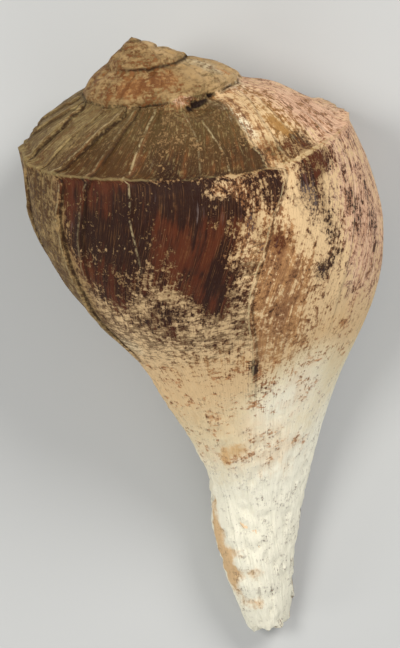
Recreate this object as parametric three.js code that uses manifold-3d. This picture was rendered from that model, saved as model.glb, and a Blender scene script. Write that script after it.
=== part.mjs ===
import * as THREE from 'three';
import { mergeVertices } from 'three/addons/utils/BufferGeometryUtils.js';
import Module from 'manifold-3d';

// A left-handed whelk shell, lying on its open side. Millimetres, +Z up.
// The shell is first worked out along its coiling axis. A depth is how far a point lies below the apex,
// an azimuth is 0 in the middle of the back and grows the way the shell grew, towards the outer lip.

// Driving dimensions
const shellLength = 203;
const shoulderRadius = 63;
const shoulderSlope = 0.705;
const growthPerTurn = 1.88;
const turns = 5.3;
const lipAzimuth = degrees(125);
const wallThickness = 2.6;
const callusThickness = 0.8;
const suturePlace = 0.887;
const knobsPerTurn = 15;
const knobHeight = 3;
const bellyGain = 12;
const lipFlare = 2;
const lipStep = 1.8;
const spireLean = 1.8;
const leanRadius = 24;

// How the shell lies, on its lip, its belly and its canal tip: the azimuth that faces up, how far the
// apex end is raised, and how much is worn off where it rests
const restAzimuth = degrees(1.4);
const restPitch = degrees(10.65);
const wearFlat = 0.6;

// How finely the growth is followed
const rowsPerTurn = 60;
const sutureLagRows = 3;
const bodyColumns = 22;
const cavityTurns = 1.1;

// Radius of the last whorl at each depth, at the outer lip
const bodyOutline = [
  [44.5, 63], [50, 64.7], [58, 66.6], [68, 68.2], [78, 68.8], [88, 67.6], [98, 64.4], [108, 59.5],
  [120, 51.4], [132, 42.8], [144, 35.2], [156, 28.6], [168, 22.8], [180, 17.8], [192, 13.6], [204, 10.4],
];

// Radius of the pillar that runs down the far side of the canal
const pillarOutline = [
  [110, 5], [130, 7.6], [147, 7.4], [156, 9.4], [166, 10.6], [180, 9.8], [190, 8.2], [204, 6],
];

// How deep the shoulder ramp dips under a straight cone, from the suture to the keel: on the last whorl,
// and on the older ones, which bulge beside their suture. One turns into the other between two azimuths.
const rampDips = [[0, 0.9], [0.1, 0.6], [0.3, -1.4], [0.5, -1.6], [0.75, -0.3], [suturePlace, 1], [1, 0]];
const olderDips = [
  [0, 1.2], [0.1, 0.3], [0.3, -1.9], [0.55, -3.4], [0.75, -3.4], [0.84, -1.9], [suturePlace, 0.4], [1, 1],
];
const olderAzimuths = [degrees(-130), degrees(-60)];
const rampPlaces = [0, 0.12, 0.32, 0.54, 0.74, 0.84, suturePlace, 1];

// How much deeper the keel lies than an even spiral: azimuth in degrees, and depth
const keelWave = [
  [-140, -2.2], [-90, -2.3], [-50, -2.3], [-20, -1.9], [0, -0.2], [15, 0.8], [30, 1.9], [45, 1.8], [58, 0.6],
  [75, 0], [125, 0],
];

// Growth ridges on the ramp: azimuth where each meets the keel, and height
const growthRidges = [
  [-109, 0.8], [-97, 0.9], [-79, 1.2], [-49, 1.1], [-31, 0.9], [-13, 0.9], [35, 0.6], [71, 0.4], [95, 0.5],
];

// The two pits in the last suture and the chips in the lip, the canal and its tip:
// azimuth, radius, depth, and half sizes along the growth, outwards and downwards
const dents = [
  [26, 28, 20.4, 5, 1.9, 2.2],
  [49, 27, 19.2, 4.4, 1.8, 1.6],
  [119, 66, 46.5, 4, 3.4, 2.6],
  [107, 27.6, 160, 3.5, 3, 3],
  [103, 19.6, 177, 3, 2.6, 2.4],
  [-84, 12.6, 158.5, 4, 2.2, 2],
  [-60, 8, 205, 5, 4, 3.4],
  [70, 10, 206, 5, 4, 4],
];

const growthRate = Math.log(growthPerTurn) / (2 * Math.PI);
const rowStep = 2 * Math.PI / rowsPerTurn;
const lipRow = Math.round(turns * rowsPerTurn);
const suturedColumn = rampPlaces.indexOf(suturePlace);
const keelColumn = rampPlaces.length - 1;
const lastColumn = keelColumn + bodyColumns;
const firstBareRow = lipRow - rowsPerTurn + sutureLagRows;

function degrees(angle) {
  return angle * Math.PI / 180;
}

function smoothStep(from, to, value) {
  const t = Math.min(Math.max((value - from) / (to - from), 0), 1);
  return t * t * (3 - 2 * t);
}

function smoothLargest(a, b, width) {
  return (a + b + Math.sqrt((a - b) ** 2 + width ** 2)) / 2;
}

// A smooth curve through a list of [place, value] pairs
function through(pairs, place) {
  const last = pairs.length - 1;
  if (place <= pairs[0][0]) {
    return pairs[0][1];
  }
  if (place >= pairs[last][0]) {
    return pairs[last][1];
  }
  let i = 0;
  while (place > pairs[i + 1][0]) {
    i += 1;
  }
  const slope = (a, b) => (pairs[b][1] - pairs[a][1]) / (pairs[b][0] - pairs[a][0]);
  const width = pairs[i + 1][0] - pairs[i][0];
  const t = (place - pairs[i][0]) / width;
  const startSlope = slope(Math.max(i - 1, 0), i + 1) * width;
  const endSlope = slope(i, Math.min(i + 2, last)) * width;
  return pairs[i][1] * (1 + 2 * t) * (1 - t) ** 2 + startSlope * t * (1 - t) ** 2
    + pairs[i + 1][1] * t * t * (3 - 2 * t) + endSlope * t * t * (t - 1);
}

// Size of the shell where it had grown to this azimuth, 1 at the outer lip and 0 at the apex
function grown(azimuth) {
  const atApex = Math.exp(-growthRate * turns * 2 * Math.PI);
  return Math.max(Math.exp(growthRate * (azimuth - lipAzimuth)) - atApex, 0) / (1 - atApex);
}

function keelDepth(azimuth) {
  return shoulderSlope * shoulderRadius * grown(azimuth);
}

// Low knobs on the older part of the keel, worn away towards the lip
function knob(azimuth) {
  const strength = 1 - 0.85 * smoothStep(degrees(-130), degrees(0), azimuth);
  const wave = Math.max(Math.cos(knobsPerTurn * (azimuth - lipAzimuth)), 0) ** 1.5;
  return knobHeight * grown(azimuth) * strength * wave;
}

// How much deeper the keel lies here than an even spiral, fading out on the older whorls
function keelShift(azimuth) {
  return through(keelWave, azimuth * 180 / Math.PI) * smoothStep(degrees(-215), degrees(-140), azimuth);
}

// Height of the growth ridges where they meet the keel
function ridge(azimuth) {
  return growthRidges.reduce((height, [place, size]) => {
    const away = Math.abs(azimuth - degrees(place)) / rowStep;
    return height + size * Math.max(1 - away, 0);
  }, 0);
}

// Radius of the outside below the keel, from the last whorl and the pillar of the canal
function outerRadius(azimuth, depth) {
  const size = grown(azimuth);
  const keel = keelDepth(azimuth);
  const place = bodyOutline[0][0] + (depth - keel) / size ** 0.9;
  const past = Math.max(place - shellLength, 0);
  const belly = smoothStep(45, 95, place) * (1 - smoothStep(125, 168, place));
  const whorl = size * Math.max(through(bodyOutline, place) - past * 0.5, 0) - bellyGain * (1 - size) * belly;
  return smoothLargest(whorl, through(pillarOutline, depth), 3);
}

// Growth lines lean back below the keel and forward towards the suture
function rampLag(place) {
  return sutureLagRows * rowStep * (1 - place / suturePlace);
}

function bodyLag(part) {
  return degrees(-20) * smoothStep(0, 0.34, part);
}

function shellPoint(azimuth, radius, depth) {
  return new THREE.Vector3(radius * Math.sin(azimuth), -radius * Math.cos(azimuth), -depth);
}

// The glaze of callus that the lip laid over the older whorl next to it
function callus(azimuth) {
  return callusThickness * (1 - smoothStep(0, degrees(70), azimuth + 2 * Math.PI - lipAzimuth));
}

// Depth of the ramp before its ridges and knobs
function rampDepth(azimuth, place, radius) {
  const older = 1 - smoothStep(olderAzimuths[0], olderAzimuths[1], azimuth);
  const dip = through(rampDips, place) * (1 - older) + through(olderDips, place) * older;
  const step = lipStep * smoothStep(degrees(78), degrees(98), azimuth) * smoothStep(0.55, 0.95, place);
  return shoulderSlope * radius + grown(azimuth) * dip + keelShift(azimuth) * smoothStep(0.15, 1, place) - step;
}

function rampPoint(azimuthAtKeel, place, suture) {
  const azimuth = azimuthAtKeel + rampLag(place);
  const size = grown(azimuth);
  const start = suture ? Math.hypot(suture.x, suture.y) : 0;
  const radius = start + (shoulderRadius * size - start) * place;
  const high = ridge(azimuthAtKeel) * size * smoothStep(0, 0.3, place) * (place < 1 ? 1 : 0.4);
  const bump = knob(azimuth) * smoothStep(0.7, 1, place);
  const flare = lipFlare * smoothStep(degrees(108), lipAzimuth, azimuthAtKeel) * smoothStep(0.4, 1, place);
  return shellPoint(azimuth, radius + bump, rampDepth(azimuth, place, radius) - high - 0.3 * bump - flare);
}

function bodyPart(step) {
  return (step / bodyColumns) ** 1.2;
}

function bodyPoint(azimuthAtKeel, step) {
  const part = bodyPart(step);
  const azimuth = azimuthAtKeel + bodyLag(part);
  const depth = keelDepth(azimuth) + (shellLength - keelDepth(azimuth)) * part;
  const bump = knob(azimuth) * Math.max(1 - part * 14, 0) ** 2;
  const radius = outerRadius(azimuth, depth) + bump + callus(azimuth);
  return shellPoint(azimuth, radius, depth + keelShift(azimuth) * (1 - smoothStep(0, 0.3, part)));
}

// The oldest whorls lean a little to the left
function leaned(point) {
  const lean = spireLean * (1 - smoothStep(0, leanRadius, Math.hypot(point.x, point.y)));
  return new THREE.Vector3(point.x - (point.z > -30 ? lean : 0), point.y, point.z);
}

// A mesh being built: its points, and its triangles as point numbers
class Surface {
  constructor() {
    this.points = [];
    this.triangles = [];
  }

  add(point) {
    this.points.push(point);
    return this.points.length - 1;
  }

  triangle(a, b, c) {
    if (a !== b && b !== c && c !== a) {
      this.triangles.push(a, b, c);
    }
  }

  quad(a, b, c, d) {
    this.triangle(a, b, c);
    this.triangle(a, c, d);
  }

  // Triangles between two lines of points that start together and end together
  bridge(first, second) {
    let i = 0;
    let j = 0;
    while (i < first.length - 1 || j < second.length - 1) {
      const ahead = (i + 1) / first.length < (j + 1) / second.length;
      if (j === second.length - 1 || (ahead && i < first.length - 1)) {
        this.triangle(first[i], first[i + 1], second[j]);
        i += 1;
      } else {
        this.triangle(first[i], second[j + 1], second[j]);
        j += 1;
      }
    }
  }

  geometry() {
    const geometry = new THREE.BufferGeometry();
    const places = this.points.flatMap((point) => point.toArray());
    geometry.setAttribute('position', new THREE.Float32BufferAttribute(places, 3));
    geometry.setIndex(this.volume() > 0 ? this.triangles : this.triangles.reverse());
    return geometry;
  }

  volume() {
    let total = 0;
    for (let i = 0; i < this.triangles.length; i += 3) {
      const [a, b, c] = this.triangles.slice(i, i + 3).map((k) => this.points[k]);
      total += a.dot(b.clone().cross(c));
    }
    return total;
  }
}

// The filled outside: each whorl starts on the one before, just above that one's keel
function filledShell() {
  const surface = new Surface();
  const apex = surface.add(new THREE.Vector3(0, 0, 0.4));
  const tip = surface.add(shellPoint(0, 0, shellLength + 0.8));
  const rows = [];
  for (let row = 0; row <= lipRow; row += 1) {
    const azimuth = lipAzimuth + (row - lipRow) * rowStep;
    const before = rows[row - rowsPerTurn + sutureLagRows];
    const line = [before ? before[suturedColumn] : apex];
    for (let column = 1; column <= keelColumn; column += 1) {
      const suture = surface.points[line[0]];
      line.push(row === 0 ? apex : surface.add(rampPoint(azimuth, rampPlaces[column], suture)));
    }
    if (row >= firstBareRow) {
      for (let step = 1; step <= bodyColumns; step += 1) {
        line.push(surface.add(bodyPoint(azimuth, step)));
      }
      line.push(tip);
    }
    rows.push(line);
  }
  for (let row = 0; row < lipRow; row += 1) {
    const end = row < firstBareRow ? suturedColumn : lastColumn + 1;
    for (let column = 0; column < end; column += 1) {
      surface.quad(rows[row][column], rows[row + 1][column], rows[row + 1][column + 1], rows[row][column + 1]);
    }
  }
  surface.bridge(rows[firstBareRow].slice(suturedColumn), rows[lipRow]);
  surface.points = surface.points.map(leaned);
  return surface.geometry();
}

// One ring of the hollow: out along the ramp, down inside the wall and back up the pillar
function hollowRing(azimuthAtKeel, beyondLip) {
  const size = grown(azimuthAtKeel);
  const wall = wallThickness * Math.sqrt(size);
  const keel = keelDepth(azimuthAtKeel) + keelShift(azimuthAtKeel);
  const older = azimuthAtKeel - 2 * Math.PI;
  const start = shoulderRadius * grown(older);
  const ring = [];
  for (const place of [0.24, 0.5, 0.75, 0.92]) {
    const azimuth = azimuthAtKeel + rampLag(place);
    const radius = start + (shoulderRadius * size - start) * place;
    ring.push(shellPoint(azimuth, radius - wall * 0.6, rampDepth(azimuth, place, radius) + wall * 1.15));
  }
  const grownBottom = keel + (shellLength - bodyOutline[0][0]) * size ** 0.9 - (1 - size) * 30;
  const closing = smoothStep(degrees(20), degrees(90), lipAzimuth - azimuthAtKeel);
  const bottom = THREE.MathUtils.lerp(shellLength + 4, grownBottom, closing);
  const steps = 16;
  const pillar = (depth) => through(pillarOutline, depth) * (0.5 + 0.75 * beyondLip) * Math.min(size * 1.2, 1) + 0.6;
  const inner = (depth) => {
    const past = older + bodyLag((depth - keel) / (shellLength - keel));
    const whorl = outerRadius(past, Math.max(depth, keelDepth(past) + 2)) + callusThickness;
    const free = smoothStep(shellLength * 0.55 * size, shellLength * 0.4 * size, depth);
    return Math.max(pillar(depth), whorl * free);
  };
  for (let step = 0; step <= steps; step += 1) {
    const depth = keel + wall + (bottom - keel - wall) * (step / steps) ** 1.1;
    const azimuth = azimuthAtKeel + bodyLag((depth - keel) / (shellLength - keel));
    const radius = Math.max(outerRadius(azimuth, depth) - wall, inner(depth) + 0.6);
    ring.push(shellPoint(azimuth, radius, depth));
  }
  for (let step = steps; step >= 0; step -= 2) {
    const top = shoulderSlope * start * 1.12 + wall * 1.5;
    const depth = top + (bottom - top) * (step / steps) ** 1.1;
    const azimuth = azimuthAtKeel + bodyLag(Math.max((depth - keel) / (shellLength - keel), 0));
    ring.push(shellPoint(azimuth, inner(depth), depth));
  }
  return ring;
}

function hollow() {
  const surface = new Surface();
  const rings = [];
  for (let row = -Math.round(cavityTurns * rowsPerTurn); row <= 6; row += 2) {
    const ring = hollowRing(lipAzimuth + row * rowStep, Math.max(row / 6, 0));
    rings.push(ring.map((point) => surface.add(point)));
  }
  const around = rings[0].length;
  for (let i = 0; i < rings.length - 1; i += 1) {
    for (let k = 0; k < around; k += 1) {
      const next = (k + 1) % around;
      surface.quad(rings[i][k], rings[i][next], rings[i + 1][next], rings[i + 1][k]);
    }
  }
  for (const ring of [rings[0], rings[rings.length - 1].slice().reverse()]) {
    for (let k = 1; k < around / 2; k += 1) {
      surface.quad(ring[k - 1], ring[around - k], ring[around - k - 1], ring[k]);
    }
  }
  return surface.geometry();
}

const wasm = await Module();
wasm.setup();

function solid(geometry) {
  const bare = new THREE.BufferGeometry();
  bare.setAttribute('position', geometry.getAttribute('position').clone());
  bare.setIndex(geometry.index);
  const merged = mergeVertices(bare, 1e-4);
  return new wasm.Manifold(new wasm.Mesh({
    numProp: 3,
    vertProperties: merged.getAttribute('position').array,
    triVerts: Uint32Array.from(merged.index.array),
  }));
}

function geometryOf(body) {
  const mesh = body.getMesh();
  const geometry = new THREE.BufferGeometry();
  geometry.setAttribute('position', new THREE.BufferAttribute(mesh.vertProperties.slice(), 3));
  geometry.setIndex(new THREE.BufferAttribute(mesh.triVerts.slice(), 1));
  geometry.computeVertexNormals();
  return geometry;
}

function placed(geometry, steps) {
  const matrix = new THREE.Matrix4();
  for (const step of steps) {
    matrix.premultiply(step);
  }
  return geometry.applyMatrix4(matrix);
}

// A dent with the given half sizes along the growth, out from the axis and down the shell
function dent(azimuth, radius, depth, halfSizes) {
  const ball = new THREE.SphereGeometry(1, 10, 6);
  const middle = shellPoint(azimuth, radius, depth);
  return placed(ball, [
    new THREE.Matrix4().makeScale(...halfSizes),
    new THREE.Matrix4().makeRotationZ(azimuth),
    new THREE.Matrix4().makeTranslation(middle.x, middle.y, middle.z),
  ]);
}

function lying(geometry) {
  return placed(geometry, [
    new THREE.Matrix4().makeRotationZ(-restAzimuth),
    new THREE.Matrix4().makeRotationX(-Math.PI / 2 + restPitch),
  ]);
}

let upright = solid(filledShell()).subtract(solid(hollow()));
for (const [azimuth, radius, depth, ...halfSizes] of dents) {
  upright = upright.subtract(solid(dent(degrees(azimuth), radius, depth, halfSizes)));
}

const shellGeometry = lying(geometryOf(upright));
shellGeometry.computeBoundingBox();
const low = shellGeometry.boundingBox.min;
const middle = shellGeometry.boundingBox.getCenter(new THREE.Vector3());
shellGeometry.translate(-middle.x, -middle.y, -low.z - wearFlat);

const ground = new THREE.BoxGeometry(400, 400, 20).translate(0, 0, -10);
const shellMaterial = new THREE.MeshStandardMaterial({ color: 0x9a7a5c, roughness: 0.6, metalness: 0 });
const shell = new THREE.Mesh(geometryOf(solid(shellGeometry).subtract(solid(ground))), shellMaterial);
shell.name = 'whelk_shell';

const group = new THREE.Group();
group.add(shell);
export default group;
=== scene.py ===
import math
import bmesh
import bpy
import numpy as np
from mathutils import Matrix, Vector, noise


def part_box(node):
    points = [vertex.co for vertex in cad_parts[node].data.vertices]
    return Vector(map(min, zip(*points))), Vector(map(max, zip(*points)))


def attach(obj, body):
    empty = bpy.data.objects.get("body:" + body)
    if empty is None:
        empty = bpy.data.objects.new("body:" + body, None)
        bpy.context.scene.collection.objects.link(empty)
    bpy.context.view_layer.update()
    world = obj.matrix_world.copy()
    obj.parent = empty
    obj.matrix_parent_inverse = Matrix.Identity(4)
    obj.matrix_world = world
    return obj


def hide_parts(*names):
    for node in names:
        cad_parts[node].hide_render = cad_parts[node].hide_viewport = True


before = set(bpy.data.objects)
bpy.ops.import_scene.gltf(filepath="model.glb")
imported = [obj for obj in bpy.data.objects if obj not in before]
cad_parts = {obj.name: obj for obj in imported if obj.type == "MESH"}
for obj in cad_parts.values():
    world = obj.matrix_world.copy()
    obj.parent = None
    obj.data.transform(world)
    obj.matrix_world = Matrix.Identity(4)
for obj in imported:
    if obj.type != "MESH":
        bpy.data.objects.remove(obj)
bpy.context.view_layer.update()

# A left-handed whelk shell that lies on its open side, seen from above.
# It is worked out in millimetres along its coiling axis and then laid in the frame, in metres.
# An azimuth is 0 in the middle of the back and grows the way the shell grew, towards the outer lip.
# A place on the ramp runs from 0 at its suture to 1 at the keel, and a part of the body from 0 at the keel
# to 1 at the tip of the canal. An arc is the length along a growth line from the keel, and is below 0 on
# the ramp.

mm = 0.001
seam = 0.0001 * mm   # points closer than this are one point

# millimetres at the lip, degrees of azimuth and ratios
# the outline and the pillar give a radius at each depth
form = {
    "length": 203, "shoulder": 63, "shoulderSlope": 0.705, "perTurn": 1.88, "turns": 5.3, "lip": 125,
    "suture": 0.887, "wall": 2.6, "glaze": 0.8, "flare": 2, "belly": 12, "knobs": 15, "knobHeight": 3,
    "stretch": 0.9, "blend": 3, "bodyLag": (20, 0.34),
    "outline": [(44.5, 63), (50, 64.7), (58, 66.6), (68, 68.2), (78, 68.8), (88, 67.6), (98, 64.4),
                (108, 59.5), (120, 51.4), (132, 42.8), (144, 35.2), (156, 28.6), (168, 22.8), (180, 17.8),
                (192, 13.6), (204, 10.4)],
    "pillar": [(110, 5), (130, 7.6), (147, 7.4), (156, 9.4), (166, 10.6), (180, 9.8), (190, 8.2), (204, 6)],
    "rampDips": [(0, 0.9), (0.1, 0.6), (0.3, -1.4), (0.5, -1.6), (0.75, -0.3), (0.887, 1), (1, 0)],
    "olderDips": [(0, 1.2), (0.1, 0.3), (0.3, -1.9), (0.55, -3.4), (0.75, -3.4), (0.84, -1.9), (0.887, 0.4),
                  (1, 1)],
    "keelWave": [(-140, -2.2), (-90, -2.3), (-50, -2.3), (-20, -1.9), (0, -0.2), (15, 0.8), (30, 1.9),
                 (45, 1.8), (58, 0.6), (75, 0), (125, 0)],
    "older": (-60, -130), "lean": 1.8, "leanRadius": 24, "lipStep": 1.8, "apexRadius": 0.3, "tipRound": 0.8,
}

# which azimuth points up, how many degrees the apex is raised, and where the apex lies
lying = {"upAzimuth": 1.4, "apexRaised": 10.65, "apexX": -9.915, "apexHeight": 43.54}

# a growth line reaches the suture "lag" degrees ahead of the keel, so a whorl is covered after 360 - lag
detail = {"rowsPerWhorl": 304, "lag": 18, "crowding": 0.35, "crowded": 0.33, "rampSteps": 22, "edgeSteps": 3,
          "bodySteps": 110, "endSteps": 5, "closerAbove": 1.08, "cavityTurns": 1.05, "lipWear": 16}

shoulderDepth = form["outline"][0][0]
growthRate = math.log(form["perTurn"]) / (2 * math.pi)
atApex = math.exp(-growthRate * form["turns"] * 2 * math.pi)
lipRow = round(form["turns"] * 360 / (360 - detail["lag"]) * detail["rowsPerWhorl"])
firstBareRow = lipRow - detail["rowsPerWhorl"]
suturedColumn = detail["rampSteps"]
keelColumn = suturedColumn + detail["edgeSteps"]
endColumn = keelColumn + detail["bodySteps"]
lastColumn = endColumn + detail["endSteps"]


def smoothStep(start, end, value):
    t = np.clip((np.asarray(value, float) - start) / (end - start), 0, 1)
    return t * t * (3 - 2 * t)


def through(pairs, place):
    # a smooth curve through a list of (place, value) pairs
    xs = np.array([p[0] for p in pairs], float)
    ys = np.array([p[1] for p in pairs], float)
    slopes = np.empty_like(ys)
    slopes[1:-1] = (ys[2:] - ys[:-2]) / (xs[2:] - xs[:-2])
    slopes[0] = (ys[1] - ys[0]) / (xs[1] - xs[0])
    slopes[-1] = (ys[-1] - ys[-2]) / (xs[-1] - xs[-2])
    place = np.clip(place, xs[0], xs[-1])
    i = np.clip(np.searchsorted(xs, place, side="right") - 1, 0, len(xs) - 2)
    width = xs[i + 1] - xs[i]
    t = (place - xs[i]) / width
    value = ys[i] * (1 + 2 * t) * (1 - t) ** 2 + slopes[i] * width * t * (1 - t) ** 2
    return value + ys[i + 1] * t * t * (3 - 2 * t) + slopes[i + 1] * width * t * t * (t - 1)


def wrapped(degrees):
    return (degrees + 180) % 360 - 180


def grown(azimuth):
    # size of the shell where it had grown to this azimuth, 1 at the lip and 0 at the apex
    size = np.exp(growthRate * np.radians(azimuth - form["lip"]))
    return np.maximum(size - atApex, 0) / (1 - atApex)


def inApex(azimuth):
    # so near the start that the rows are drawn together into one point
    return form["shoulder"] * grown(azimuth) < form["apexRadius"]


def keelDepth(azimuth):
    return form["shoulderSlope"] * form["shoulder"] * grown(azimuth)


def knob(azimuth):
    worn = 1 - 0.85 * smoothStep(-130, 0, azimuth)
    wave = np.maximum(np.cos(np.radians(form["knobs"] * (azimuth - form["lip"]))), 0) ** 1.5
    return form["knobHeight"] * grown(azimuth) * worn * wave


def keelWave(azimuth):
    # the keel doesn't run quite true: how much deeper it lies than the even spiral
    return through(form["keelWave"], azimuth) * smoothStep(-215, -140, azimuth)


def outerRadius(azimuth, depth):
    size = np.maximum(grown(azimuth), 1e-4)
    place = shoulderDepth + (depth - keelDepth(azimuth)) / size ** form["stretch"]
    past = np.maximum(place - form["length"], 0)
    belly = smoothStep(45, 95, place) * (1 - smoothStep(125, 168, place))
    whorl = size * np.maximum(through(form["outline"], place) - past * 0.5, 0)
    whorl = whorl - form["belly"] * (1 - size) * belly
    pillar = through(form["pillar"], depth)
    return (whorl + pillar + np.sqrt((whorl - pillar) ** 2 + form["blend"] ** 2)) / 2


def bodyLag(part):
    degrees, end = form["bodyLag"]
    return -degrees * smoothStep(0, end, part)


def glazeHeight(azimuth):
    return form["glaze"] * (1 - smoothStep(0, 70, azimuth + 360 - form["lip"]))


def shellPoint(azimuth, radius, depth):
    turn = np.radians(azimuth)
    return np.stack(np.broadcast_arrays(radius * np.sin(turn), -radius * np.cos(turn), -depth), axis=-1)


def rampPoint(azimuthAtKeel, place, startRadius):
    azimuth = azimuthAtKeel + detail["lag"] * (1 - place / form["suture"])
    size = grown(azimuth)
    radius = startRadius + (form["shoulder"] * size - startRadius) * place
    older = smoothStep(-form["older"][0], -form["older"][1], -azimuth)
    dips = through(form["rampDips"], place) * (1 - older) + through(form["olderDips"], place) * older
    depth = form["shoulderSlope"] * radius + size * dips + keelWave(azimuth) * smoothStep(0.15, 1, place)
    bump = knob(azimuth) * smoothStep(0.7, 1, place)
    flare = form["flare"] * smoothStep(108, form["lip"], azimuthAtKeel) * smoothStep(0.4, 1, place)
    flare = flare + form["lipStep"] * smoothStep(78, 98, azimuth) * smoothStep(0.55, 0.95, place)
    return shellPoint(azimuth, radius + bump, depth - 0.3 * bump - flare)


def bodyPoint(azimuthAtKeel, part):
    azimuth = azimuthAtKeel + bodyLag(part)
    depth = keelDepth(azimuth) + (form["length"] - keelDepth(azimuth)) * part
    bump = knob(azimuth) * np.maximum(1 - part * 14, 0) ** 2
    radius = outerRadius(azimuth, depth) + bump + glazeHeight(azimuth)
    return shellPoint(azimuth, radius, depth + keelWave(azimuth) * (1 - smoothStep(0, 0.3, part)))


def columnPlaces():
    # where each column lies: places on the ramp, and parts of the way down the body
    t = np.arange(suturedColumn + 1) / suturedColumn
    ramp = form["suture"] * (t - 0.06 * np.sin(2 * math.pi * t))
    edge = form["suture"] + (1 - form["suture"]) * np.arange(1, detail["edgeSteps"] + 1) / detail["edgeSteps"]
    body = (np.arange(1, detail["bodySteps"] + 1) / detail["bodySteps"]) ** detail["closerAbove"]
    return np.concatenate([ramp, edge]), body


# how much of the lip edge has broken off, in millimetres: depth on the lip, half height, amount
lipChips = [(47, 3.5, 2.4), (62, 5, 0.7), (84, 4, 0.6), (104, 6, 0.9), (130, 3, 0.8), (153, 3.5, 2),
            (166, 2, 0.6), (180, 3, 1.4), (192, 4, 1)]
tipChips = [(-30, 22, 2.2), (25, 16, 1.2), (60, 12, 2.6), (-80, 20, 1)]


def lipLoss(depth, radius):
    # how many degrees the worn lip falls short of its full growth
    lost = 0.5 + 0.4 * np.sin(depth * 0.9) * np.sin(depth * 0.31)
    for place, half, amount in lipChips:
        lost = lost + amount * np.exp(-((depth - place) / half) ** 4)
    return np.degrees(lost / np.maximum(radius, 6))


def tipLoss(azimuth):
    lost = 0.4 + 0.3 * np.sin(np.radians(azimuth * 7)) * np.sin(np.radians(azimuth * 3 + 40))
    for place, half, amount in tipChips:
        lost = lost + amount * np.exp(-(wrapped(azimuth - place) / half) ** 2)
    return lost


def growRows():
    # every growth line of the outside as a row of points, in the shell's own millimetres
    rampPlaces, bodyParts = columnPlaces()
    whorls, within = np.divmod((lipRow - np.arange(lipRow + 1)) / detail["rowsPerWhorl"], 1)
    start = math.pi * (1 - 2 * detail["crowded"])
    within = within + (detail["crowding"] / 2 / math.pi
                       * (np.sin(2 * math.pi * within + start) - math.sin(start)))
    azimuths = form["lip"] - (360 - detail["lag"]) * (whorls + within)
    points = np.zeros((lipRow + 1, lastColumn + 1, 3))
    for row, azimuth in enumerate(azimuths):
        before = row - detail["rowsPerWhorl"]
        suture = points[before, suturedColumn] if before >= 0 else np.zeros(3)
        start = math.hypot(suture[0], suture[1])
        points[row, :keelColumn + 1] = rampPoint(azimuth, rampPlaces, start)
        points[row, 0] = suture
    wornFrom = form["lip"] - detail["lipWear"]
    nearLip = smoothStep(wornFrom, form["lip"], azimuths)[:, None]
    body = bodyPoint(azimuths[:, None], bodyParts[None, :])
    loss = lipLoss(-body[-1, :, 2], np.hypot(body[-1, :, 0], body[-1, :, 1]))
    body = bodyPoint(azimuths[:, None] - loss * nearLip, bodyParts[None, :])
    around = np.degrees(np.arctan2(body[..., 0], -body[..., 1]))
    body[..., 2] += tipLoss(around) * smoothStep(form["length"] - 9, form["length"], -body[..., 2])
    points[:, keelColumn + 1:endColumn + 1] = body
    near = azimuths > wornFrom
    ramp = points[near, 1:keelColumn + 1]
    loss = (lipLoss(-ramp[-1, :, 2], np.hypot(ramp[-1, :, 0], ramp[-1, :, 1]))
            * smoothStep(30, 38, -ramp[-1, :, 2]))
    turn = np.radians(-loss * nearLip[near])
    turned = np.stack([ramp[..., 0] * np.cos(turn) - ramp[..., 1] * np.sin(turn),
                       ramp[..., 0] * np.sin(turn) + ramp[..., 1] * np.cos(turn), ramp[..., 2]], axis=-1)
    points[near, 1:keelColumn + 1] = turned
    rim = points[:, endColumn]
    for step in range(1, detail["endSteps"] + 1):
        t = step / detail["endSteps"]
        quarter = t * math.pi / 2
        level = rim[:, 2] * (1 - t * t) + rim[:, 2].mean() * t * t
        points[:, endColumn + step, :2] = rim[:, :2] * math.cos(quarter) ** 0.7
        points[:, endColumn + step, 2] = level - form["tipRound"] * math.sin(quarter)
    points[:, lastColumn] = [0, 0, rim[:, 2].mean() - form["tipRound"]]
    points[inApex(azimuths)] = 0
    lean = form["lean"] * (1 - smoothStep(0, form["leanRadius"], np.hypot(points[..., 0], points[..., 1])))
    points[:, :keelColumn + 1, 0] -= (lean * (points[..., 2] > -30))[:, :keelColumn + 1]
    return azimuths, points


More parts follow.
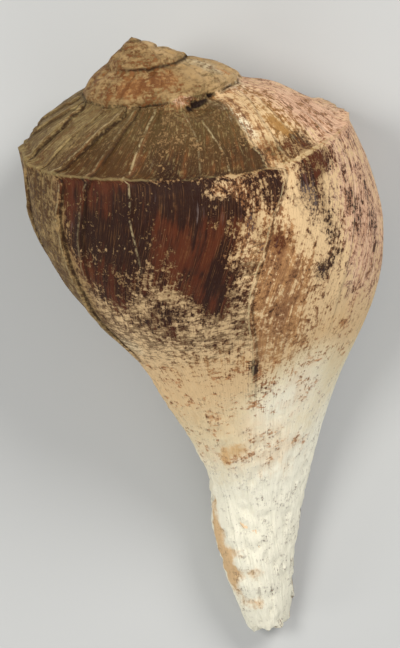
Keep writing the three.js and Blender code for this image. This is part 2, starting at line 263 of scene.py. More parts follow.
# marks where growth paused: the growth azimuth at each arc, the height of the rib, the depth of the groove
# beside it, how strong its dark and its pale line are, and the arcs between which it shows
marks = [
    {"path": [(-20, -110), (0, -108)], "rib": 0.8, "groove": 0.4, "dark": 0.6, "pale": 0.3,
     "shows": (-40, 14)},
    {"path": [(-24, -94), (0, -96), (40, -90)], "rib": 0.8, "groove": 0.5, "dark": 0.7, "pale": 0.4,
     "shows": (-40, 20)},
    {"path": [(-27, -88), (-17, -77), (-3, -74), (40, -72)], "rib": 1.1, "groove": 0.9, "dark": 1,
     "pale": 0.5, "shows": (-40, 50)},
    {"path": [(-25, -60), (0, -58), (40, -58)], "rib": 0.3, "groove": 0.3, "dark": 0.5, "pale": 0.2,
     "shows": (-40, 6)},
    {"path": [(-30, -41), (-12, -44), (0, -46), (4, -43), (16, -46), (29, -41), (46, -36), (70, -34)],
     "rib": 0.9, "groove": 0.8, "dark": 1, "pale": 0.6, "shows": (-40, 80)},
    {"path": [(-30, -30), (-13, -30), (0, -29), (6, -33), (21, -34), (33, -31), (60, -24)], "rib": 0.7,
     "groove": 0.5, "dark": 0.8, "pale": 0.35, "shows": (-40, 40)},
    {"path": [(-29, -16), (-15, -16), (-4, -14), (13, -14), (37, -4), (55, -1), (70, -1)], "rib": 0.8,
     "groove": 0.1, "dark": 0.25, "pale": 0.7, "shows": (-40, 30)},
    {"path": [(-30, 2), (-16, 9), (-6, 11), (30, 18)], "rib": 0.3, "groove": 0.2, "dark": 0, "pale": 0.7,
     "shows": (-40, -4)},
    {"path": [(-30, 10), (-22, 13), (-14, 18), (-8, 21), (0, 23), (40, 28)], "rib": 0.4, "groove": 0.2,
     "dark": 0.2, "pale": 0.8, "shows": (-22, 2)},
    {"path": [(-30, 29), (-13, 31), (-7, 35), (2, 37), (4, 40), (10, 37), (17, 33), (37, 33), (44, 34),
              (59, 38), (73, 40)], "rib": 0.3, "groove": 0.3, "dark": 0.6, "pale": 0.8, "shows": (-22, 90)},
    {"path": [(-37, 50), (-22, 41), (-12, 42), (-1, 46), (10, 48), (60, 52)], "rib": 0.4, "groove": 0.5,
     "dark": 0.35, "pale": 0.5, "shows": (-45, 2)},
    {"path": [(-38, 56), (-24, 50), (-14, 51), (-3, 53), (60, 58)], "rib": 0.3, "groove": 0.3, "dark": 0.25,
     "pale": 0.4, "shows": (-45, 2)},
    {"path": [(-38, 68), (0, 70), (60, 72)], "rib": 0.3, "groove": 0.2, "dark": 0.3, "pale": 0.5,
     "shows": (-45, 70)},
    {"path": [(-38, 96), (0, 96), (60, 98)], "rib": 0.4, "groove": 0.3, "dark": 0.3, "pale": 0.4,
     "shows": (-45, 90)},
]

splitMark = 9   # the mark that parts the dark skin on its left from the paler side
farOff = 8   # the furthest from a mark, in millimetres, that is still told
nowhere = 99   # stands for a suture or keel that isn't near
# the growth azimuth that each of them starts at
shownFrom = {"marks": -200, "spots": -420, "lastWhorl": -220}

# pits and chips: azimuth, depth, half widths around and down in millimetres, and how deep they go
pits = [(27, 20.6, 5.5, 1.6, 2.0), (49, 19.6, 4.6, 1.2, 1.6), (-87, 153, 3, 2.5, 0.8),
        (-38, 189, 3, 2.5, 0.7), (120, 45, 4, 3, 2.5), (108, 44, 3, 2.2, 1.2)]
# edges that stand up, in the same way
flaps = [(21, 18.2, 4.5, 1.6, 1.3), (36, 22.6, 4, 1.2, 0.7), (58, 20.6, 4, 1.3, 0.6), (-66, 151, 4, 1.5, 0.9),
         (-40, 186, 5, 1.2, 0.7), (-20, 193, 6, 0.9, 0.5), (20, 197, 5, 0.9, 0.5)]

# how high each kind of wear is and how wide its features are, in millimetres
wear = {"lumps": (0.35, 16), "dimples": (0.18, 5), "erosion": (0.8, 3.2), "striae": (0.22, 2.6),
        "suture": (1.0, 0.9), "keel": (0.7, 1.8)}


def noiseAt(points, scale, seed):
    # smooth noise from -1 to 1 for every point, with features about "scale" millimetres across
    scale = np.broadcast_to(np.asarray(scale, float), points.shape)
    flat = (points / scale + seed * 17.3).reshape(-1, 3)
    return np.array([noise.noise(place) for place in flat.tolist()]).reshape(points.shape[:-1])


def surfaceNormals(points):
    down = np.gradient(points, axis=1)
    ahead = np.gradient(points, axis=0)
    across = np.cross(down, ahead)
    across /= np.maximum(np.linalg.norm(across, axis=-1, keepdims=True), 1e-9)
    outward = points * [1, 1, 0] + [0, 0, 20]
    return across * np.sign((across * outward).sum(axis=-1, keepdims=True))


def measure(azimuths, points):
    # where every point lies: growth azimuth, own azimuth, depth, radius, and distances in millimetres
    steps = np.linalg.norm(np.diff(points, axis=1), axis=2)
    fromSuture = np.concatenate([np.zeros((len(points), 1)), np.cumsum(steps, axis=1)], axis=1)
    own = np.degrees(np.arctan2(points[..., 0], -points[..., 1]))
    own += 360 * np.round((azimuths[:, None] - own) / 360)
    place = {"growth": np.broadcast_to(azimuths[:, None], own.shape), "azimuth": own,
             "depth": -points[..., 2], "radius": np.hypot(points[..., 0], points[..., 1]),
             "fromSuture": fromSuture, "arc": fromSuture - fromSuture[:, keelColumn:keelColumn + 1]}
    toSuture = np.abs(fromSuture - fromSuture[:, suturedColumn:suturedColumn + 1])
    toSuture[firstBareRow:] = nowhere
    place["suture"] = np.minimum(fromSuture, toSuture)
    return place


def spot(place, azimuth, depth, halfAround, halfDown, power):
    # 1 in the middle of a soft-edged patch; its half widths are in millimetres
    around = np.radians(wrapped(place["azimuth"] - azimuth)) * place["radius"] / halfAround
    down = (place["depth"] - depth) / halfDown
    return np.exp(-(around ** 2 + down ** 2) ** power) * (place["growth"] > shownFrom["spots"])


def marksPast(place, number):
    # how far past one growth mark every point lies, in millimetres
    arcs, azimuths = zip(*marks[number]["path"])
    return (np.radians(place["growth"] - np.interp(place["arc"], arcs, azimuths))
            * np.maximum(place["radius"], 10))


def showing(mark, place):
    start, end = mark["shows"]
    near = smoothStep(start - 3, start + 3, place["arc"]) * (1 - smoothStep(end - 10, end + 4, place["arc"]))
    return near * smoothStep(0.5, 3, place["fromSuture"]) * (place["growth"] > shownFrom["marks"])


def weather(azimuths, points):
    # moves the even surface to the worn one: ribs, striae, lumps, pits and the sunken suture
    place = measure(azimuths, points)
    size = grown(place["growth"])
    high, wide = wear["lumps"]
    move = high * noiseAt(points, wide, 1) * (0.3 + size)
    high, wide = wear["dimples"]
    move += high * noiseAt(points, wide, 2)
    spire = 1 - smoothStep(18, 34, place["radius"]) * smoothStep(-320, -200, place["growth"])
    high, wide = wear["erosion"]
    worn = smoothStep(0.05, 0.5, noiseAt(points, wide, 3)) + 0.5 * noiseAt(points * [1, 1, 4], 6, 11)
    move -= high * spire * worn * smoothStep(0, 6, place["radius"])
    along = np.stack([form["shoulder"] * size / growthRate, place["arc"] * 0.05, 0 * size], axis=-1)
    high, wide = wear["striae"]
    move += high * noiseAt(along, wide, 4) * smoothStep(0.25, 0.5, size)
    for number, mark in enumerate(marks):
        away = marksPast(place, number)
        rib = (mark["rib"] * np.exp(-(away / 0.9) ** 2)
               + mark["rib"] * 0.4 * smoothStep(-7, 0, away) * (away < 0))
        groove = mark["groove"] * np.exp(-((away - 1.7) / 0.8) ** 2)
        move += (rib - groove) * 0.8 * showing(mark, place)
    high, wide = wear["keel"]
    onKeel = np.exp(-(place["arc"] / wide) ** 2) * (size > 0.4)
    move += high * onKeel * (0.3 + noiseAt(points, 3.4, 5) + 0.5 * noiseAt(points, 1.7, 8))
    deep, wide = wear["suture"]
    crack = 0.6 + 0.8 * noiseAt(points, 7, 9)
    move -= deep * crack * np.exp(-(place["suture"] / wide) ** 2) * smoothStep(0.1, 0.4, size)
    for azimuth, depth, around, down, deep in pits:
        ragged = 1 + 0.35 * noiseAt(points, 2.2, 6)
        move -= deep * spot(place, azimuth, depth, around, down, 1.5) * ragged
    for azimuth, depth, around, down, high in flaps:
        move += high * spot(place, azimuth, depth, around, down, 1)
    moved = points + surfaceNormals(points) * move[..., None]
    moved[inApex(azimuths)] = points[0]
    before = np.arange(len(points)) - detail["rowsPerWhorl"]
    moved[before >= 0, 0] = moved[before[before >= 0], suturedColumn]
    moved[before < 0, 0] = points[0, 0]
    moved[:, lastColumn] = points[:, lastColumn]
    return moved


def hollowRings(azimuths, points):
    # the inside as rings of the same count: down inside the wall and back up the pillar
    rampPlaces = columnPlaces()[0]
    downColumns = np.arange(lastColumn + 1)
    upColumns = np.arange(lastColumn - 1, suturedColumn, -1)
    rim = np.concatenate([points[lipRow, downColumns], points[firstBareRow, upColumns]])
    rings = [rim]
    u = (np.clip((np.arange(lastColumn + 1) - keelColumn) / (lastColumn - keelColumn), 0, 1)
         ** detail["closerAbove"])
    back = [0, 0.6, 1.5, 3, 5]
    while back[-1] < detail["cavityTurns"] * 360:
        back.append(back[-1] + 5)
    for degreesBack in back:
        azimuth = form["lip"] - degreesBack
        size = grown(azimuth)
        wall = form["wall"] * math.sqrt(size) * (1 if degreesBack else 0.8)
        keel = keelDepth(azimuth) + keelWave(azimuth)
        older = azimuth - 360 + detail["lag"]
        start = form["shoulder"] * grown(azimuth - 360)
        grownBottom = keel + (form["length"] - shoulderDepth) * size ** form["stretch"] - (1 - size) * 30
        closing = smoothStep(20, 90, form["lip"] - azimuth)
        bottom = form["length"] - 1.2 + (grownBottom - form["length"] + 1.2) * closing
        place = 0.2 + 0.8 * rampPlaces
        roof = rampPoint(azimuth, place, start)
        radius = np.hypot(roof[:, 0], roof[:, 1])
        inward = wall * (0.6 + 0.4 * smoothStep(0.85, 1, place))
        roof[:, :2] *= ((radius - inward) / radius)[:, None]
        underPits = 4 * math.exp(-((azimuth - 32) / 30) ** 4)
        lowered = 1.15 * wall
        roof[:, 2] -= lowered + underPits * (1 - smoothStep(0.4, 0.8, place))

        def inner(depth, azimuthHere):
            whorl = outerRadius(azimuthHere, np.maximum(depth, keelDepth(azimuthHere) + 2)) + form["glaze"]
            free = smoothStep(form["length"] * 0.55 * size, form["length"] * 0.4 * size, depth)
            slim = 1 - 0.25 * smoothStep(150, 200, depth)
            return np.maximum(through(form["pillar"], depth) * slim * min(size * 1.2, 1) + 0.3, whorl * free)

        depth = keel + lowered + (bottom - keel - lowered) * u[keelColumn + 1:]
        part = (depth - keel) / (form["length"] - keel)
        here = azimuth + bodyLag(part)
        innerHere = inner(depth, azimuth - 360 + bodyLag(part))
        thin = wall * (1 - 0.3 * smoothStep(150, 200, depth))
        outer = shellPoint(here, np.maximum(outerRadius(here, depth) - thin, innerHere + 0.5), depth)
        down = np.concatenate([roof, outer])
        olderKeel = keelDepth(older)
        top = olderKeel + lowered + underPits
        depthUp = top + (bottom - top) * u[upColumns]
        partUp = np.clip((depthUp - olderKeel) / (form["length"] - olderKeel), 0, 1)
        hereUp = older + bodyLag(partUp)
        up = shellPoint(hereUp, inner(depthUp, hereUp), depthUp)
        corner = roof[0]
        onEdge = upColumns <= keelColumn
        blend = ((upColumns - suturedColumn) / (keelColumn - suturedColumn + 1))[onEdge]
        foot = up[~onEdge][-1]
        up[onEdge] = foot * blend[:, None] + corner * (1 - blend)[:, None]
        rings.append(np.concatenate([down, up]))
    return np.array(rings)


def lyingTurn():
    turn = Matrix.Rotation(math.radians(-90 + lying["apexRaised"]), 3, "X")
    return turn @ Matrix.Rotation(math.radians(-lying["upAzimuth"]), 3, "Z")


def apexPlace():
    low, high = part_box("whelk_shell")
    return np.array([lying["apexX"] * mm, high[1], lying["apexHeight"] * mm])


def layDown(points):
    # from the shell's own millimetres to metres in the frame, lying on lip, belly and canal
    laid = np.asarray(points) @ np.array(lyingTurn()).T * mm
    laid += apexPlace()
    laid[..., 2] = np.maximum(laid[..., 2], 0)
    return laid


def addGrid(bm, points, uvs, fields):
    # a grid of faces laid over rows of points, with its two UV maps and its painted fields
    rows, columns = points.shape[:2]
    made = bmesh.ops.create_grid(bm, x_segments=columns - 1, y_segments=rows - 1, size=1)
    for vert, place in zip(made["verts"], points.reshape(-1, 3).tolist()):
        vert.co = place
    flat = {name: uv.reshape(-1, 2).tolist() for name, uv in uvs.items()}
    numbers = {vert: k for k, vert in enumerate(made["verts"])}
    for face in {face for vert in made["verts"] for face in vert.link_faces}:
        for name, uv in flat.items():
            layer = bm.loops.layers.uv[name]
            for loop in face.loops:
                loop[layer].uv = uv[numbers[loop.vert]]
    for name, field in fields.items():
        layer = bm.verts.layers.float[name]
        for vert, value in zip(made["verts"], field.reshape(-1).tolist()):
            vert[layer] = value
    return made["verts"]


def growthUvs(place):
    # "grow" follows the growth lines and "around" the spiral, both in millimetres
    across = form["shoulder"] * grown(place["growth"]) / growthRate
    return {"grow": np.stack([across, place["arc"]], axis=-1),
            "around": np.stack([np.radians(place["azimuth"]) * 40, place["depth"]], axis=-1)}


# patches of one tone: azimuth, depth, half width around, half height down, amount
patches = {
    "skin": [(21, 18.2, 5, 2, -0.4), (3, 56, 5.5, 16, 0.5), (6, 70, 5, 9, 0.75), (-22, 48, 15, 13, 0.15),
             (-30, 66, 7, 7, 0.3), (16, 41, 3.6, 2.6, -0.5), (22, 44, 3, 5, -0.3), (54, 43, 7, 4, 0.5),
             (47, 50, 5, 7, 0.35), (44, 76, 3, 3.4, 0.5), (50, 74, 4, 3, 0.3), (-2, 21, 2.6, 2.4, 0.5),
             (-28, 28, 9, 4, 0.35), (20, 62, 3, 9, -0.3), (27, 52, 2, 7, -0.2), (30, 60, 3, 5, 0.25),
             (41, 46, 3, 3, -0.5), (36, 56, 4, 5, -0.3), (-12, 80, 10, 6, 0.2), (52, 36, 14, 2.5, 0.3),
             (12, 88, 12, 5, 0.15), (50, 60, 3, 9, 0.28), (45, 47, 12, 1.6, 0.3), (64, 62, 3, 14, 0.25),
             (74, 70, 3, 16, 0.3), (20, 103, 1.5, 4, 0.7), (24, 113, 6, 1.6, 0.3)],
    "film": [(16, 41, 4, 3.2, -0.15), (8, 6, 4, 2, 0.5), (-14, 12, 7, 2.4, 0.5), (20, 12, 5, 2, 0.4),
             (6, 60, 7, 18, 0.4), (32, 78, 9, 16, 0.35), (46, 60, 9, 7, -0.35), (52, 52, 9, 6, -0.3),
             (40, 50, 4, 6, -0.4), (58, 84, 10, 8, -0.25), (54, 33, 1.5, 5, 0.8), (77, 16, 2.6, 2, 0.7),
             (30, 66, 3, 8, 0.3), (15, 98, 16, 8, 0.2)],
    "pale": [(72, 12, 14, 7, 0.2), (100, 12, 12, 8, 0.15), (40, 26, 3.4, 8, 0.7), (75, 17, 10, 4.5, 0.35),
             (88, 21, 12, 3.5, 0.3), (66, 24, 5, 4, 0.3), (112, 44, 12, 3.4, 1), (98, 38, 7, 2.4, 0.5),
             (-24, 62, 3, 9, 0.25), (-40, 90, 8, 7, 0.3), (70, 13, 7, 4, 0.25), (30, 15, 5, 2.5, 0.2),
             (46, 66, 7, 5, 0.3), (60, 82, 6, 6, 0.3), (46, 112, 14, 13, 0.32), (30, 122, 8, 8, 0.15),
             # painted highlight: this pale strip runs down the left edge of the body
             (-88, 40, 5, 30, 0.3)],
    "olive": [(20, 23, 9, 5, 0.5), (36, 24, 6, 5, 0.5), (-18, 24, 8, 6, 0.3), (42, 36, 3, 5, 0.4)],
    "lilac": [(5, 44, 4, 4, -0.1), (7, 45, 2.4, 3.4, 0.4), (23, 57, 2.6, 7, 0.6), (28, 62, 3, 6, 0.3),
             (14, 50, 3, 8, 0.2), (45, 52, 5, 8, 0.4), (42, 76, 5, 4, 0.4), (-36, 45, 5, 6, 0.15),
             (4, 182, 3, 3, 1)],
    "tan": [(-64, 170, 3.4, 19, 1), (-50, 178, 4, 7, 0.6), (-20, 192, 4, 3, 0.6), (4, 181, 5, 4, 0.55),
             (-30, 172, 4, 3, 0.5), (6, 134, 4.5, 3.5, 0.75), (-6, 138, 2, 4, 0.6), (30, 206, 6, 4, 0.5)],
    "rose": [(80, 34, 9, 6, 0.75), (21, 18.2, 4.5, 1.8, 0.75), (66, 66, 12, 16, 0.2)],
    # the inside of the pits, painted near-black as painted shade
    "holeShade": [(27, 21.1, 2.9, 0.9, 1), (19, 20.5, 3, 0.4, 0.6), (35, 20.4, 2.8, 0.7, 0.9),
             (44, 19.6, 3, 0.6, 0.9), (52, 19, 2.4, 0.4, 0.6)],
}

# how much of each coat there is, by depth: left of the dark part, in it, in the gap beside it and past
# the line
coats = {
    "skinLeft": [(20, 0.42), (60, 0.36), (90, 0.15), (110, 0)],
    "skinMiddle": [(30, 0.86), (46, 0.8), (58, 0.66), (72, 0.4), (86, 0.22), (108, 0)],
    "skinGap": [(30, 0.76), (46, 0.6), (62, 0.4), (74, 0.26), (96, 0.05)],
    "skinPast": [(30, 0.24), (60, 0.2), (90, 0.12), (112, 0)],
    "film": [(30, 0.9), (60, 0.7), (80, 0.34), (104, 0.26), (124, 0)],
    "filmPast": [(34, 0.8), (56, 1), (96, 1), (118, 0.5), (134, 0.2), (146, 0)],
    "pale": [(50, 0), (84, 0.08), (108, 0.28), (126, 0.5), (142, 0.74), (158, 1)],
}
rampSkin = [(-40, 0.42), (-24, 0.56), (-12, 0.74), (-3, 0.88), (0, 0.8)]   # the same for the ramp, by arc


def between(low, high, soft, value):
    return smoothStep(low - soft, low + soft, value) * (1 - smoothStep(high - soft, high + soft, value))


def paint(place):
    # the painted fields of the outside, from 0 to 1, which the material breaks up with noise
    growth, azimuth, depth, arc = place["growth"], place["azimuth"], place["depth"], place["arc"]
    last = smoothStep(shownFrom["lastWhorl"] - 5, shownFrom["lastWhorl"] + 5, growth)
    body = smoothStep(-0.6, 0.6, arc) * last
    ramp = (1 - body) * last
    pastLine = marksPast(place, splitMark)
    beyond = smoothStep(-1.5, 1.5, pastLine)
    left = 1 - smoothStep(-52, -38, azimuth)
    middle = between(-44, 17, 6, azimuth)
    gap = smoothStep(11, 21, azimuth) * (1 - beyond)
    coat = {name: through(pairs, depth) for name, pairs in coats.items()}
    skin = body * middle * coat["skinMiddle"]
    skin = skin + body * gap * coat["skinGap"]
    skin = skin + body * left * coat["skinLeft"]
    skin = skin + body * beyond * coat["skinPast"]
    thick = through(rampSkin, arc) * (0.42 + 0.58 * smoothStep(-66, -24, growth))
    skin = skin + ramp * (1 - beyond) * thick
    skin = skin + ramp * beyond * (0.1 + 0.3 * between(44, 58, 6, growth) * smoothStep(-12, -4, arc))
    # painted light: rightSide makes the spire paler and less dark on its right side, as if lit from the right
    rightSide = smoothStep(22, 60, wrapped(azimuth))
    skin = skin + (1 - last) * (0.42 - 0.22 * rightSide)
    skin = skin - (0.3 + 0.3 * beyond) * np.exp(-(arc / 0.8) ** 2) * last
    film = body * (1 - beyond) * coat["film"]
    nearLine = np.exp(-np.maximum(pastLine, 0) / 22)
    film = film + body * beyond * (0.34 + 0.4 * nearLine) * coat["filmPast"]
    film = film + ramp * (0.3 + 0.35 * smoothStep(-50, -5, growth) - 0.24 * smoothStep(52, 74, growth))
    # painted light: less film on the spire's right side
    film = film + (1 - last) * (0.44 - 0.3 * rightSide)
    film = film - body * left * 0.5
    fleck = smoothStep(46, 68, depth) * (1 - smoothStep(84, 120, depth)) * (1 - 0.7 * beyond) * body * 0.58
    spots = between(92, 146, 10, depth) * (1 - smoothStep(55, 75, np.abs(azimuth - 12))) * 0.34
    pale = coat["pale"] + 0.2 * smoothStep(0, 60, azimuth) * smoothStep(96, 124, depth)
    pale = pale + 0.7 * smoothStep(119, 125, growth)
    # painted highlight: a paler right side of the spire
    pale = pale * last + (1 - last) * 0.12 * rightSide
    rose = smoothStep(44, 66, azimuth) * (1 - smoothStep(84, 112, depth)) * 0.62 * last
    olive = ramp * (1 - beyond) * (0.56 + 0.34 * (1 - smoothStep(-60, -8, growth))) + body * left * 0.75
    # painted light: less olive on the spire's right side
    olive = olive * (1 - smoothStep(80, 112, depth)) + (1 - last) * (0.5 - 0.08 * rightSide)
    ochre = ramp * between(43, 62, 5, growth) * 0.8
    glaze = (1 - smoothStep(form["lip"] - 364, form["lip"] - 292, growth)) * last
    fields = {"skin": skin, "film": film, "pale": pale, "rose": rose, "olive": olive, "tan": 0 * depth,
              "lilac": 0 * depth, "holeShade": 0 * depth}
    for name, spread in patches.items():
        for aroundAt, downAt, around, down, amount in spread:
            fields[name] = fields[name] + amount * spot(place, aroundAt, downAt, around, down, 1.3)
    fields["pale"] = fields["pale"] * (0.4 + 0.6 * last)
    fields.update(fleck=fleck, spots=spots, ochre=ochre, glaze=glaze, spire=1 - last, suture=place["suture"],
                  arc=arc)
    for number in range(len(marks)):
        away = marksPast(place, number)
        fields[f"mark{number}"] = np.where(growth > shownFrom["marks"], np.clip(away, -farOff, farOff),
                                           farOff)
    return {name: np.broadcast_to(field, depth.shape) for name, field in fields.items()}


def buildShell():
    azimuths, points = growRows()
    points = weather(azimuths, points)
    place = measure(azimuths, points)
    uvs = growthUvs(place)
    fields = paint(place)
    rings = hollowRings(azimuths, points)
    print("grown:", len(points), "rows outside and", len(rings), "rings inside")
    bm = bmesh.new()
    for name in uvs:
        bm.loops.layers.uv.new(name)
    for name in fields:
        bm.verts.layers.float.new(name)

    def part(arrays, rows, columns):
        return {name: array[rows, columns] for name, array in arrays.items()}

    spire = slice(0, firstBareRow + 1)
    last = slice(firstBareRow, lipRow + 1)
    outsideColumns = slice(0, suturedColumn + 1)
    laid = layDown(points)
    addGrid(bm, laid[spire, outsideColumns], part(uvs, spire, outsideColumns),
            part(fields, spire, outsideColumns))
    addGrid(bm, laid[last], part(uvs, last, slice(None)), part(fields, last, slice(None)))
    closed = np.concatenate([rings, rings[:, :1]], axis=1)
    shape = closed.shape[:2]
    ringUv = np.stack(np.broadcast_arrays(np.arange(shape[0])[:, None] * 2.0, np.arange(shape[1]) * 1.5), -1)
    insideFields = {name: np.zeros(shape) for name in fields}
    insideFields.update(glaze=np.ones(shape), suture=np.full(shape, nowhere), arc=np.full(shape, nowhere))
    insideFields.update({f"mark{number}": np.full(shape, farOff) for number in range(len(marks))})
    inside = addGrid(bm, layDown(closed), {name: ringUv for name in uvs}, insideFields)
    bmesh.ops.pointmerge(bm, verts=inside[-shape[1]:], merge_co=layDown(rings[-1].mean(axis=0)))
    bmesh.ops.remove_doubles(bm, verts=bm.verts, dist=seam)
    bmesh.ops.dissolve_degenerate(bm, edges=bm.edges, dist=seam)
    if bm.calc_volume(signed=True) < 0:
        bmesh.ops.reverse_faces(bm, faces=bm.faces)
    print("mesh closed:", all(len(edge.link_faces) == 2 for edge in bm.edges))
    mesh = bpy.data.meshes.new("whelk_shell_surface")
    bm.to_mesh(mesh)
    bm.free()
    mesh.shade_smooth()
    shell = bpy.data.objects.new("whelk_shell_surface", mesh)
    bpy.context.scene.collection.objects.link(shell)
    return shell


class Wire:
    # one value in a shader: Python operators on it add Math nodes

    def __init__(self, tree, socket):
        self.tree = tree
        self.socket = socket

    def math(self, operation, first, second):
        return make(self.tree, "ShaderNodeMath", {"operation": operation}, {0: first, 1: second})

    def __add__(self, other):
        return self.math("ADD", self, other)

    def __sub__(self, other):
        return self.math("SUBTRACT", self, other)

    def __rsub__(self, other):
        return self.math("SUBTRACT", other, self)

    def __mul__(self, other):
        return self.math("MULTIPLY", self, other)

    __radd__ = __add__
    __rmul__ = __mul__

    def least(self, other):
        return self.math("MINIMUM", self, other)

    def size(self):
        return make(self.tree, "ShaderNodeMath", {"operation": "ABSOLUTE"}, {0: self})

    def rise(self, low, high):
        # 0 at low and 1 at high, smooth between them; it falls where low is the larger one
        return make(self.tree, "ShaderNodeMapRange", {"interpolation_type": "SMOOTHSTEP"},
                    {"Value": self, "From Min": low, "From Max": high})


def make(tree, kind, settings=None, inputs=None, output=0):
    # one node: its settings first, then the values or links of its sockets
    node = tree.nodes.new(kind)
    for name, value in (settings or {}).items():
        setattr(node, name, value)
    for name, value in (inputs or {}).items():
        if isinstance(value, Wire):
            tree.links.new(value.socket, node.inputs[name])
        else:
            node.inputs[name].default_value = value
    return Wire(tree, node.outputs[output])


def tone(red, green, blue):
    # a colour as it looks on a screen, 0 to 255, as the shader's own numbers
    return tuple((c / 255) ** 2.2 for c in (red, green, blue)) + (1,)


shellTones = {
    "buff": tone(208, 177, 134), "dullBuff": tone(150, 122, 82), "cream": tone(222, 206, 170),
    "ivory": tone(240, 235, 214), "film": tone(166, 118, 72), "darkFilm": tone(116, 70, 38),
    "rose": tone(224, 186, 158), "darkRose": tone(170, 120, 94), "olive": tone(92, 76, 44),
    "paleOlive": tone(150, 132, 90), "darkOlive": tone(74, 52, 28), "brown": tone(38, 17, 9),
    "chestnut": tone(76, 36, 18), "lilac": tone(104, 92, 88), "fleck": tone(92, 72, 48),
    "spot": tone(172, 112, 72), "tan": tone(208, 164, 108), "ochre": tone(150, 106, 42),
    # crack is a near-black used as painted shade, in the suture groove and in the pits
    "line": tone(44, 28, 14), "paleLine": tone(204, 184, 138), "crack": tone(30, 16, 9),
    "glaze": tone(226, 196, 158),
}

# the noises: features in a metre on Object coordinates, or across and along in a millimetre on a UV map,
# then how many octaves and how rough
shellGrains = {"fine": (1500, 3, 0.6), "specks": (620, 4, 0.65), "blots": (170, 5, 0.66),
               "broad": (48, 3, 0.55)}
shellLines = {"striae": (0.9, 0.035, 4, 0.65), "fineStriae": (2.6, 0.07, 3, 0.65),
              "streaks": (0.33, 0.025, 3, 0.6)}

shellFinish = {"specular": 0.14, "bump": 0.8, "bumpHeight": 0.0009}


